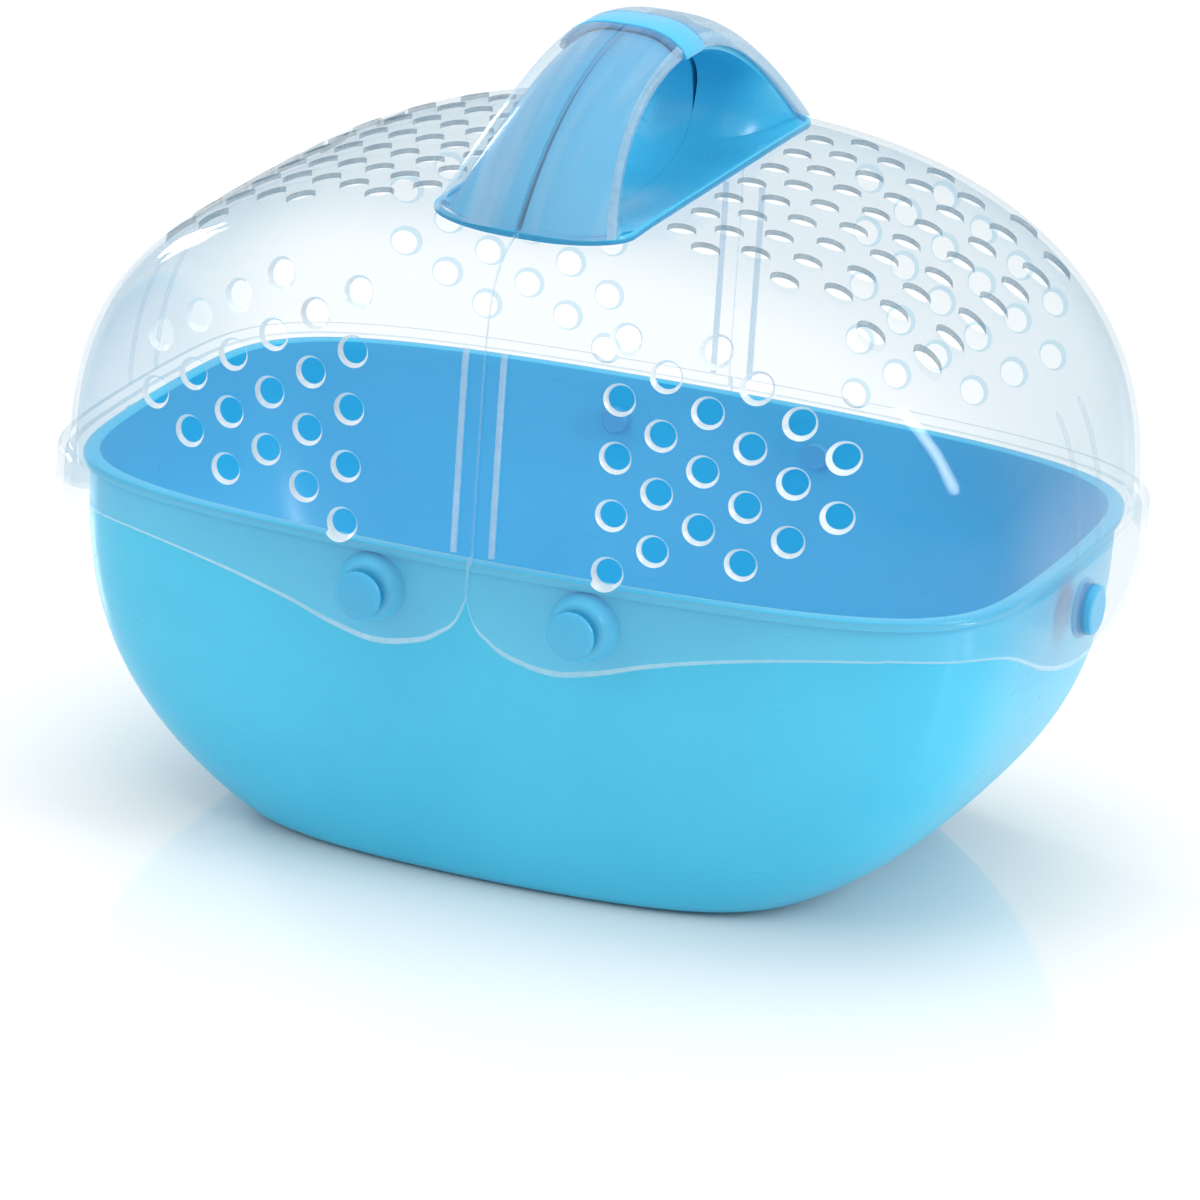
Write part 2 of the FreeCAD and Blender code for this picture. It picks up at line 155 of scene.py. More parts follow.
def clearPlastic(name, haze, rimHaze, mirrorRise, tint, dusk, milkAndPaintedLight, streaks=0.0):
    # moulded polystyrene: passes nearly everything face on and mirrors towards the edges; the darkening towards
    # the edges is painted shade
    g = Graph(name)
    where = g.place()
    flow = g.noise(g.stretched(where, (7.0, 7.0, 16.0)), 1.6, 4.0, 0.6, 0.8)
    fine = g.noise(where, 420.0, 2.0, 0.5)
    relief = g.bump(flow * 0.85 + fine * 0.15, 0.0006, 0.30)
    turned = g.node("LayerWeight", None, {"Blend": 0.5, "Normal": relief}, out="Facing")
    mirror = (0.018 + mirrorRise * turned ** 5.0).clamped()
    clean = g.node("BsdfTransparent", None, {"Color": (*tint, 1.0)})
    # painted shade: a dusk-tinted see-through copy, mixed in more towards the edges by view angle, stands for the
    # darkness refraction gives at the rims
    dark = g.node("BsdfTransparent", None, {"Color": (*dusk, 1.0)})
    seen = g.mixed((turned ** 1.4).clamped(), clean, dark)
    gloss = g.node("BsdfGlossy", None, {"Color": (1.0, 1.0, 1.0, 1.0),
                                        "Roughness": (0.045 + 0.03 * fine), "Normal": relief})
    body = g.node("BsdfPrincipled", None, {
        "Base Color": g.blendColour(flow.ramp(0.35, 0.7), milkAndPaintedLight, tuple(min(1.0, c * 1.06) for c in milkAndPaintedLight)),
        "Roughness": 0.42 + 0.12 * fine, "IOR": 1.5})
    cloud = haze * (0.75 + 0.5 * flow) + turned ** 4.0 * rimHaze
    if streaks:
        lines = g.noise(g.stretched(where, (70.0, 6.0, 6.0)), 2.2, 3.0, 0.55, 0.6)
        cloud = cloud + streaks * lines.ramp(0.46, 0.72)
    return g.finish(g.mixed(cloud.clamped(), g.mixed(mirror, seen, gloss), body))


def mouldedEdge(name, milkAndPaintedLight, share, tint):
    # cut-like edges and vent walls, where the light that runs inside the wall comes out; the colour here is
    # painted: pale ones are a painted glow and highlight, the dark one is painted shade
    g = Graph(name)
    where = g.place()
    fine = g.noise(where, 300.0, 3.0, 0.6)
    slow = g.noise(where, 26.0, 2.0, 0.5)
    relief = g.bump(fine, 0.0002, 0.3)
    clean = g.node("BsdfTransparent", None, {"Color": (*tint, 1.0)})
    body = g.node("BsdfPrincipled", None, {
        "Base Color": g.blendColour(slow.ramp(0.35, 0.65), milkAndPaintedLight, tuple(c * 0.86 for c in milkAndPaintedLight)),
        "Roughness": 0.16 + 0.15 * fine, "Normal": relief, "IOR": 1.59})
    # only the walls that face the eye carry the painted colour; those seen from inside the plastic stay clear
    outside = 1.0 - g.node("NewGeometry", out="Backfacing")
    return g.finish(g.mixed((share * (0.7 + 0.6 * fine) * outside).clamped(), clean, body))


tubBlue = bluePlastic("tub_blue", (0.050, 0.535, 0.812), (0.062, 0.585, 0.860), 0.30)
gripBlue = bluePlastic("grip_blue", (0.060, 0.500, 0.770), (0.075, 0.555, 0.825), 0.26)
claspBlue = bluePlastic("clasp_blue", (0.070, 0.480, 0.800), (0.090, 0.520, 0.840), 0.20)
discBlue = bluePlastic("disc_blue", (0.060, 0.430, 0.720), (0.072, 0.470, 0.760), 0.28)
lidClear = clearPlastic("lid_clear", 0.012, 0.10, 0.45, (0.968, 0.980, 0.987), (0.79, 0.855, 0.895),
                        (0.84, 0.92, 0.97))
coverClear = clearPlastic("cover_clear", 0.10, 0.22, 0.55, (0.95, 0.975, 0.985), (0.62, 0.74, 0.82),
                          (0.52, 0.68, 0.80), streaks=0.16)
# edge finishes, painted light and shade: painted highlight on side vent walls (near white) and lid rims (pale
# blue), painted shade on crown vent walls (dark), a painted highlight strip on cover edges (grey-blue)
sideEdge = mouldedEdge("side_vent_edge", (0.90, 0.97, 1.00), 0.85, (0.66, 0.82, 0.90))
crownEdge = mouldedEdge("crown_vent_edge", (0.17, 0.27, 0.33), 0.62, (0.84, 0.89, 0.92))
rimEdge = mouldedEdge("lid_rim_edge", (0.76, 0.90, 0.97), 0.42, (0.93, 0.96, 0.98))
coverEdge = mouldedEdge("cover_edge", (0.42, 0.62, 0.76), 0.58, (0.80, 0.88, 0.93))


def steelFinish():
    g = Graph("pin_steel")
    where = g.place()
    lines = g.noise(g.stretched(where, (900.0, 40.0, 900.0)), 2.0, 3.0, 0.6)
    return g.finish(g.node("BsdfPrincipled", None, {
        "Base Color": g.blendColour(lines, (0.50, 0.51, 0.53), (0.62, 0.63, 0.65)), "Metallic": 1.0,
        "Roughness": 0.22 + 0.2 * lines, "Normal": g.bump(lines, 0.00005, 0.4)}))


pinSteel = steelFinish()
print("materials ready")


def gridFaces(rows, cols, closeRows=False, closeCols=False):
    # quads between neighbours of a rows x cols grid, joined round where it closes
    r = np.arange(rows if closeRows else rows - 1)[:, None]
    c = np.arange(cols if closeCols else cols - 1)[None, :]
    r2, c2 = (r + 1) % rows, (c + 1) % cols
    corners = np.broadcast_arrays(r * cols + c, r * cols + c2, r2 * cols + c2, r2 * cols + c)
    return np.stack(corners, -1).reshape(-1, 4)


def enclosed(points, faces):
    # signed volume: positive when the faces of a closed shape point outwards
    total = 0.0
    for face in (np.asarray(f) for f in faces if len(f)):
        groups = [face] if face.ndim == 2 else [face[None, :]]
        for quad in groups:
            a = points[quad[:, 0]]
            for k in range(1, quad.shape[1] - 1):
                total += np.einsum("ij,ij->", a, np.cross(points[quad[:, k]], points[quad[:, k + 1]]))
    return total / 6.0


class Shell:
    # points in millimetres with faces of one material number each
    def __init__(self):
        self.points, self.faces, self.marks, self.count = [], [], [], 0

    def add(self, points, faces, mark=0):
        # faces: a list of whole face arrays; turned outwards if the closed shape is inside out
        points = np.asarray(points, float).reshape(-1, 3)
        groups = [np.atleast_2d(np.asarray(f)) for f in faces]
        if enclosed(points, groups) < 0:
            groups = [g[:, ::-1] for g in groups]
        marks = mark if isinstance(mark, (list, tuple)) else [mark] * len(groups)
        for group, m in zip(groups, marks):
            self.faces += (group + self.count).tolist()
            self.marks += m.tolist() if isinstance(m, np.ndarray) else [m] * len(group)
        self.points.append(points)
        self.count += len(points)
        return self

    def mesh(self, name, materials):
        data = bpy.data.meshes.new(name)
        data.from_pydata((np.concatenate(self.points) * milli).tolist(), [], self.faces)
        data.polygons.foreach_set("material_index", np.asarray(self.marks, np.int32))
        for material in materials:
            data.materials.append(material)
        data.update()
        return data


def newPiece(name, data):
    piece = bpy.data.objects.new(name, data)
    bpy.context.scene.collection.objects.link(piece)
    return piece


def tidied(data, merge=0.00002, sharp=38.0):
    work = bmesh.new()
    work.from_mesh(data)
    bmesh.ops.remove_doubles(work, verts=work.verts, dist=merge)
    bmesh.ops.dissolve_degenerate(work, edges=work.edges, dist=merge * 0.5)
    work.to_mesh(data)
    work.free()
    data.shade_smooth()
    data.set_sharp_from_angle(angle=math.radians(sharp))
    return data


def carved(data, cutter):
    # data with the closed shape of cutter taken away
    target, tool = newPiece("carve_target", data), newPiece("carve_tool", cutter)
    step = target.modifiers.new("carve", "BOOLEAN")
    step.operation, step.solver, step.object = "DIFFERENCE", "MANIFOLD", tool
    view = bpy.context.evaluated_depsgraph_get()
    made = bpy.data.meshes.new_from_object(target.evaluated_get(view))
    made.name = data.name
    for thing in (target, tool):
        bpy.data.objects.remove(thing)
    return made


def mirroredMesh(data, name):
    made = data.copy()
    made.name = name
    made.transform(Matrix.Scale(-1.0, 4, (1, 0, 0)))
    made.flip_normals()
    return made


def fit(piece, body, nodes):
    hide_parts(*nodes)
    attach(piece, body)
    return piece


def curveThrough(xs, ys, x):
    # smooth curve through given points: cubic Hermite with slopes of the neighbouring chords
    xs, ys = np.asarray(xs, float), np.asarray(ys, float)
    slope = np.gradient(ys, xs)
    k = np.clip(np.searchsorted(xs, x) - 1, 0, len(xs) - 2)
    width = xs[k + 1] - xs[k]
    t = np.clip((x - xs[k]) / width, 0.0, 1.0)
    return ((1 + 2 * t) * (1 - t) ** 2 * ys[k] + t * (1 - t) ** 2 * width * slope[k]
            + t * t * (3 - 2 * t) * ys[k + 1] + t * t * (t - 1) * width * slope[k + 1])


outline = {"power": 6.0, "sideBow": 0.13, "endBow": 0.03}


def squaredOval(a, b, angle):
    # |x/a|^n + |y/b|^n = 1 at even polar angles, its sides bowed out a little
    c, s = np.cos(angle), np.sin(angle)
    n = outline["power"]
    r = (np.abs(c) ** n + np.abs(s) ** n) ** (-1.0 / n)
    c, s = r * c, r * s
    return a * c * (1 - outline["endBow"] * s * s), b * s * (1 - outline["sideBow"] * c * c)


def tubes(centres, axis, radius, low, high, sides=28, mark=1):
    # closed cylinders along x, y or z, one for each centre, for drilling
    angle = np.linspace(0, 2 * math.pi, sides, endpoint=False)
    order = {"x": (2, 0, 1), "y": (0, 2, 1), "z": (0, 1, 2)}[axis]
    shell = Shell()
    for first, second in centres:
        circle = np.stack([first + radius * np.cos(angle), second + radius * np.sin(angle), 0 * angle], 1)
        ends = [(circle + [0.0, 0.0, along])[:, order] for along in (low, high)]
        shell.add(np.concatenate(ends), [gridFaces(2, sides, closeCols=True), np.arange(sides)[None, ::-1],
                                         np.arange(sides, 2 * sides)[None, :]], mark)
    return shell


def merged(shells):
    whole = Shell()
    for s in shells:
        whole.points += s.points
        whole.faces += [[i + whole.count for i in f] for f in s.faces]
        whole.marks += s.marks
        whole.count += s.count
    return whole


def lathe(profile, centre, axis, sides=72):
    # a closed outline of (radius, distance) turned about an axis through centre
    profile = np.asarray(profile, float)
    angle = np.linspace(0, 2 * math.pi, sides, endpoint=False)
    radius, along = profile[:, 0][:, None], profile[:, 1][:, None]
    u, v = radius * np.cos(angle), radius * np.sin(angle)
    w = np.broadcast_to(along, u.shape)
    if axis == "y":
        points = np.stack([centre[0] + u, centre[1] + w, centre[2] + v], -1)
    else:
        points = np.stack([centre[0] + w, centre[1] + u, centre[2] + v], -1)
    return Shell().add(points, [gridFaces(len(profile), sides, closeCols=True)])


tubShape = {"rim": 101.0, "rimHalf": (140.5, 93.5), "baseHalf": (83.0, 76.0), "wall": 2.4, "floor": 2.6,
            "foot": 3.6, "bead": 2.0, "beadHeight": 3.0, "bossRadius": 8.3, "bossFace": 98.6,
            "pivot": (32.0, 87.6), "columns": 320}


def tubRings(inset, zLow, steps, foot):
    # half sizes by depth share s: the ends curl in as (1 - s^3)^0.86, the sides as 1 - s^2
    s = np.sin(np.linspace(0, quarter, steps))
    a = tubShape["baseHalf"][0] + (tubShape["rimHalf"][0] - tubShape["baseHalf"][0]) * (1 - s ** 3) ** 0.86
    b = tubShape["baseHalf"][1] + (tubShape["rimHalf"][1] - tubShape["baseHalf"][1]) * (1 - s ** 2)
    z = tubShape["rim"] - (tubShape["rim"] - zLow) * s
    low = np.clip(foot - (z - zLow), 0, foot)
    curl = foot - np.sqrt(np.maximum(foot ** 2 - low ** 2, 0)) if foot else 0 * z
    return np.stack([a - inset - curl, b - inset - curl, z], 1)


def makeTub():
    top = tubShape["rim"]
    outer = tubRings(0.0, 0.0, 90, tubShape["foot"])[::-1]
    inner = tubRings(tubShape["wall"], tubShape["floor"], 70, 8.0)
    a, b = tubShape["rimHalf"]
    lip = tubShape["bead"]
    wall = outer[outer[:, 2] < top - tubShape["beadHeight"] - 0.5]
    floorOut = wall[:1] * [[0.0, 0.0, 1.0]]
    shelf = np.array([0.30, 0.60, 0.85, 0.97])[:, None] * wall[:1] * [[1, 1, 0]]
    bead = [(a - 0.1, b - 0.1, top - 3.1), (a + lip - 0.8, b + lip - 0.8, top - 2.95),
            (a + lip - 0.2, b + lip - 0.2, top - 2.7), (a + lip, b + lip, top - 2.1),
            (a + lip, b + lip, top - 0.8), (a + lip - 0.25, b + lip - 0.25, top - 0.25),
            (a + lip - 0.8, b + lip - 0.8, top), (a - 1.6, b - 1.6, top), (a - 2.2, b - 2.2, top - 0.25)]
    inside = inner[inner[:, 2] < top - 0.8]
    shelfIn = (np.array([0.97, 0.85, 0.60, 0.30])[:, None] * inside[-1:] * [[1, 1, 0]]
               + [[0, 0, tubShape["floor"]]])
    floorIn = inside[-1:] * [[0.0, 0.0, 1.0]]
    rings = np.concatenate([floorOut, shelf, wall, bead, inside, shelfIn, floorIn])
    angle = np.linspace(0, 2 * math.pi, tubShape["columns"], endpoint=False)
    x, y = squaredOval(rings[:, :1], rings[:, 1:2], angle[None, :])
    z = np.broadcast_to(rings[:, 2:3], x.shape)
    shell = Shell().add(np.stack([x, y, z], -1), [gridFaces(len(rings), len(angle), closeCols=True)])
    r, face = tubShape["bossRadius"], tubShape["bossFace"]
    for side in (-1, 1):
        for end in (-1, 1):
            spot = (side * tubShape["pivot"][0], 0.0, tubShape["pivot"][1])
            boss = [(0.01, end * 90.0), (r + 2.4, end * 90.0), (r + 1.6, end * 94.0), (r + 0.9, end * 95.4),
                    (r + 0.3, end * 96.6), (r - 0.1, end * (face - 1.1)), (r - 0.5, end * (face - 0.5)),
                    (r - 1.2, end * (face - 0.1)), (r - 2.0, end * face), (0.01, end * face)]
            lump = lathe(boss, spot, "y", 56)
            shell.add(lump.points[0], [np.array(lump.faces)])
    return fit(newPiece("tub_moulding", tidied(shell.mesh("tub_moulding", [tubBlue]))),
               "base", ["tub"])


makeTub()
print("tub made")


lidShape = {"half": (146.0, 99.0), "rise": 94.5, "wall": 1.5, "buttonHole": 7.5, "endPower": 2.5, "sidePower": 8.0,
            "step": 3.0, "shoulder": 2.4, "skirtWall": 2.0, "seam": 0.3, "crown": 0.996,
            "ear": ((0, 9.0), (2, 14.5), (8, 21.0), (18, 25.3), (28, 26.5), (38, 24.6), (55, 19.4),
                    (85, 13.0), (110, 10.1), (124, 9.5), (160, 9.5)),
            "lobe": ((0, 27.0), (14, 26.3), (36, 21.4), (62, 11.1), (80, 9.5), (110, 9.5)),
            "lobeFrom": 118.0, "columns": 150}
ventShape = {"radius": 4.1, "bore": ((4.75, 6.0), (4.75, 0.1), (3.6, -1.75), (3.6, -9.0)),
             "first": (39.8, 106.2), "pitch": (12.5, 8.3),
             "rows": ((0, 2, 4, 6, 8), (1, 3, 5, 7), (2, 4, 6, 8), (1, 3, 5, 7), (2, 4, 6), (3, 5)),
             "top": (38.2, 48.9, 60.4, 72.6, 85.4, 98.8, 112.6), "topPitch": 18.0, "topReach": 64.0}
saddleShape = {"halfX": 30.0, "halfY": 66.0, "nose": 15.0, "power": 2.45}


def skirtDrop(x, y):
    # how far the skirt hangs below the rim: ears near the seam, a lobe at the end
    earX, earDrop = zip(*lidShape["ear"])
    lobeY, lobeDrop = zip(*lidShape["lobe"])
    return np.where(np.abs(x) < lidShape["lobeFrom"], curveThrough(earX, earDrop, np.abs(x)),
                    curveThrough(lobeY, lobeDrop, np.abs(y)))


def domeHalf(inset, h):
    # a(h) = a0 (1 - h^p)^(1/p): long profile p 2.5, shoulders p 8
    p, q = lidShape["endPower"], lidShape["sidePower"]
    return ((lidShape["half"][0] - inset) * (1 - h ** p) ** (1 / p),
            (lidShape["half"][1] - inset) * (1 - h ** q) ** (1 / q))


def lidAngles():
    # polar angles from the front seam round the left end to the rear seam, closer near the seam
    t = np.linspace(0, 1, lidShape["columns"])
    quarterTurn = quarter * (0.35 * t + 0.65 * t ** 1.7)
    front = -quarter - quarterTurn
    rear = -3 * quarter + quarterTurn[::-1]
    return np.concatenate([front, rear[1:]])


def saddleLine(grow, steps=44):
    # half of the saddle's outline: straight side, then a squared oval nose at each end
    tau = np.linspace(0, quarter, steps)
    n = saddleShape["power"]
    x = (saddleShape["halfX"] + grow) * np.cos(tau) ** (2 / n)
    y = saddleShape["halfY"] + (saddleShape["nose"] + grow) * np.sin(tau) ** (2 / n)
    straight = np.linspace(-1, 1, 13)[1:-1] * saddleShape["halfY"]
    return (np.concatenate([x[::-1], np.full(11, x[0]), x]),
            np.concatenate([-y[::-1], straight, y]))


def lidShell():
    top = tubShape["rim"]
    angle = lidAngles()
    a0, b0 = lidShape["half"]
    step, wall = lidShape["step"], lidShape["skirtWall"]
    rows, bands = [], []

    def ring(a, b, z, low=None, mark=0):
        # z is a height, or a share of the way from the skirt's edge (low) up to z
        x, y = squaredOval(a, b, angle)
        x = -(lidShape["seam"] + np.abs(x) * (1 - lidShape["seam"] / a0))
        height = np.full(len(angle), z)
        if low is not None:
            edge = top - skirtDrop(x, y)
            height = edge + low[1] + (z - edge) * low[0]
        rows.append(np.stack([x, y, height], 1))
        bands.append(mark)

    # rows with mark 1 at the skirt's lower edge take the lid rim finish, a painted pale glow along the edge
    ring(a0 + step - 1.1, b0 + step - 1.1, top, (0.0, 0.0), 1)
    ring(a0 + step - 0.4, b0 + step - 0.4, top, (0.0, 0.08), 1)
    ring(a0 + step - 0.05, b0 + step - 0.05, top, (0.0, 0.45), 1)
    for share in (0.06, 0.18, 0.34, 0.52, 0.7, 0.86, 0.96):
        ring(a0 + step, b0 + step, top, (share, 0.3))
    for out, up in ((0.0, 1.2), (0.12, 1.75), (0.45, 2.2), (0.9, 2.4), (1.7, 2.45), (2.35, 2.6), (2.8, 2.95)):
        ring(a0 + step - out, b0 + step - out, top + up)
    for t in np.linspace(0.03, 1.0, 92):
        h = math.sin(quarter * t ** 0.9) * lidShape["crown"]
        if lidShape["rise"] * h > 3.6:
            a, b = domeHalf(0.0, h)
            ring(a, b, top + lidShape["rise"] * h)
    inset = lidShape["wall"]
    for t in np.linspace(1.0, 0.0, 70):
        h = math.sin(quarter * t ** 0.9) * lidShape["crown"]
        a, b = domeHalf(inset, h)
        ring(a, b, top + (lidShape["rise"] - inset) * h)
    ring(a0 + step - wall - 0.6, b0 + step - wall - 0.6, top)
    ring(a0 + step - wall, b0 + step - wall, top - 0.5)
    for share in (0.9, 0.7, 0.5, 0.3, 0.1):
        ring(a0 + step - wall, b0 + step - wall, top - 0.6, (share, 0.3))
    ring(a0 + step - wall + 0.1, b0 + step - wall + 0.1, top, (0.0, 0.3), 1)
    points = np.stack(rows)
    count, cols = points.shape[:2]
    faces = gridFaces(count, cols, closeRows=True)
    marks = np.repeat(np.array(bands), cols - 1)
    first = (np.arange(count) * cols)[None, :]
    return Shell().add(points, [faces, first, (first + cols - 1)[:, ::-1]], [marks, 1, 1])


def ribStrip(path, across, outward, width, height):
    # a moulded rib: a half-round section carried along a path on the dome, sunk a little into it
    t = np.linspace(0, 2 * math.pi, 12, endpoint=False)
    u = 0.5 * width * np.sign(np.cos(t)) * np.abs(np.cos(t)) ** 0.7
    v = np.where(np.sin(t) > 0, height, 0.35) * np.sin(t)
    fade = np.minimum(1.0, np.sin(np.linspace(0.02, math.pi - 0.02, len(path))) * 6.0)
    points = (path[:, None, :] + across[None, None, :] * u[None, :, None]
              + outward[:, None, :] * (v[None, :, None] * fade[:, None, None]))
    faces = gridFaces(len(path), 12, closeCols=True)
    ends = np.arange(12)[None, :]
    return points, [faces, ends[:, ::-1], ends + (len(path) - 1) * 12]


ribShape = {"width": 1.4, "seamWidth": 1.9, "height": 0.8, "seamX": 5.0, "seamRise": 60.0,
            "tongueY": 9.0, "tongueRise": 45.0}


def lidRibs(shell):
    rise = lidShape["rise"]
    for y in (-ribShape["tongueY"], ribShape["tongueY"]):
        h = np.linspace(3.2, ribShape["tongueRise"], 40) / rise
        a, b = domeHalf(0.0, h)
        path = np.stack([-a, np.full(40, y), tubShape["rim"] + rise * h], 1)
        run = np.gradient(path, axis=0)
        outward = np.stack([-run[:, 2], 0 * h, run[:, 0]], 1)
        outward /= np.linalg.norm(outward, axis=1)[:, None]
        shell.add(*ribStrip(path, np.array([0.0, 1.0, 0.0]), outward, ribShape["width"], ribShape["height"]))
    # the seam ribs take the pale rim-edge finish: a painted highlight for the light they catch
    for end in (-1, 1):
        h = np.linspace(3.2, 2.4 + ribShape["seamRise"], 34) / rise
        a, b = domeHalf(0.0, h)
        path = np.stack([np.full(34, -ribShape["seamX"] - 0.7), end * b, tubShape["rim"] + rise * h], 1)
        outward = np.tile([0.0, end, 0.0], (34, 1))
        shell.add(*ribStrip(path, np.array([1.0, 0.0, 0.0]), outward, ribShape["seamWidth"],
                            ribShape["height"]), mark=1)
    return shell


def domeSide(x, z):
    # distance of the dome's outer face from the middle plane, at x and height z
    a, b = domeHalf(0.0, (z - tubShape["rim"]) / lidShape["rise"])
    c = x / (a * (1 - outline["endBow"]))
    s = (1 - np.abs(c) ** outline["power"]) ** (1 / outline["power"])
    return b * s * (1 - outline["sideBow"] * c * c)


def sideVents(spots, end):
    # drills for the side vents: wide outside, a chamfer through the wall, narrow inside
    angle = np.linspace(0, 2 * math.pi, 32, endpoint=False)
    shell = Shell()
    for x0, z0 in spots:
        rings = []
        for radius, out in ventShape["bore"]:
            x, z = x0 + radius * np.cos(angle), z0 + radius * np.sin(angle)
            rings.append(np.stack([x, end * (domeSide(x, z) + out), z], 1))
        # mark 3: the near-white side vent finish, a painted highlight on the vent walls
        shell.add(np.concatenate(rings), [gridFaces(4, 32, closeCols=True), np.arange(32)[None, ::-1],
                                          np.arange(96, 128)[None, :]], 3)
    return shell


def lidCutters():
    first, pitch, r = ventShape["first"], ventShape["pitch"], ventShape["radius"]
    spots = [(-(first[0] + k * pitch[0]), first[1] + j * pitch[1])
             for k, row in enumerate(ventShape["rows"]) for j in row]
    parts = [sideVents(spots, -1), sideVents(spots, 1)]
    reach, step = ventShape["topReach"], ventShape["topPitch"]
    crown = [(-x, (j + 0.5 * (k % 2)) * step) for k, x in enumerate(ventShape["top"])
             for j in range(-4, 5) if abs((j + 0.5 * (k % 2)) * step) <= reach]
    # crown vent walls take the dark edge finish (painted shade); the saddle edge, pin and button holes take the
    # pale rim finish (painted highlight)
    parts.append(tubes(crown, "z", r, 151.0, 211.0, mark=2))
    pin = [(-tubShape["pivot"][0], tubShape["pivot"][1])]
    parts += [tubes(pin, "y", 4.06, -108.0, -88.0, 40), tubes(pin, "y", 4.06, 88.0, 108.0, 40)]
    x, y = saddleLine(0.0)
    x, y = np.concatenate([-x, x[::-1][1:-1]]), np.concatenate([y, y[::-1][1:-1]])
    n = len(x)
    prism = np.concatenate([np.stack([x, y, np.full(n, z)], 1) for z in (141.0, 233.0)])
    saddle = Shell().add(prism, [gridFaces(2, n, closeCols=True), np.arange(n)[None, ::-1],
                                 np.arange(n, 2 * n)[None, :]], 1)
    button = tubes([(0.0, tubShape["pivot"][1])], "x", lidShape["buttonHole"], -156.0, -138.0, 48)
    return merged(parts + [saddle, button])


lidFinishes = [lidClear, rimEdge, crownEdge, sideEdge]


def makeLid():
    shell = lidShell().mesh("lid_half_left", lidFinishes)
    cut = carved(shell, lidCutters().mesh("lid_cutters", lidFinishes))
    ribs = newPiece("ribs", lidRibs(Shell()).mesh("ribs", lidFinishes))
    work = bmesh.new()
    work.from_mesh(cut)
    work.from_mesh(ribs.data)
    work.to_mesh(cut)
    work.free()
    bpy.data.objects.remove(ribs)
    tidied(cut, 0.00001, 32.0)
    print("lid faces", len(cut.polygons), "edge faces",
          sum(p.material_index for p in cut.polygons), [m.name for m in cut.materials])
    fit(newPiece("lid_half_left", cut), "left_half", ["lid_left"])
    fit(newPiece("lid_half_right", mirroredMesh(cut, "lid_half_right")), "right_half", ["lid_right"])


makeLid()
print("lid halves made")


gripShape = {"radius": 101.048, "centre": 134.952, "footY": 82.0, "half": 17.5, "footHalf": 28.5,
             "fall": 5.0, "cover": 2.35, "edge": 1.6, "bowl": 182.0, "bowlWall": 2.2, "rim": 194.4,
             "opening": (51.0, 202.2, 20.2), "openingPower": 2.6, "flare": 3.0, "columns": 110}


def gripHalfAt(angle):
    # half width of the grip: even over the top, widening to the feet as share^2.6
    span = math.asin(gripShape["footY"] / gripShape["radius"])
    share = np.minimum(1.0, np.abs(angle) / span)
    return gripShape["half"] + (gripShape["footHalf"] - gripShape["half"]) * share ** 2.6


def radial(radius, angle):
    return radius * np.sin(angle), gripShape["centre"] + radius * np.cos(angle)


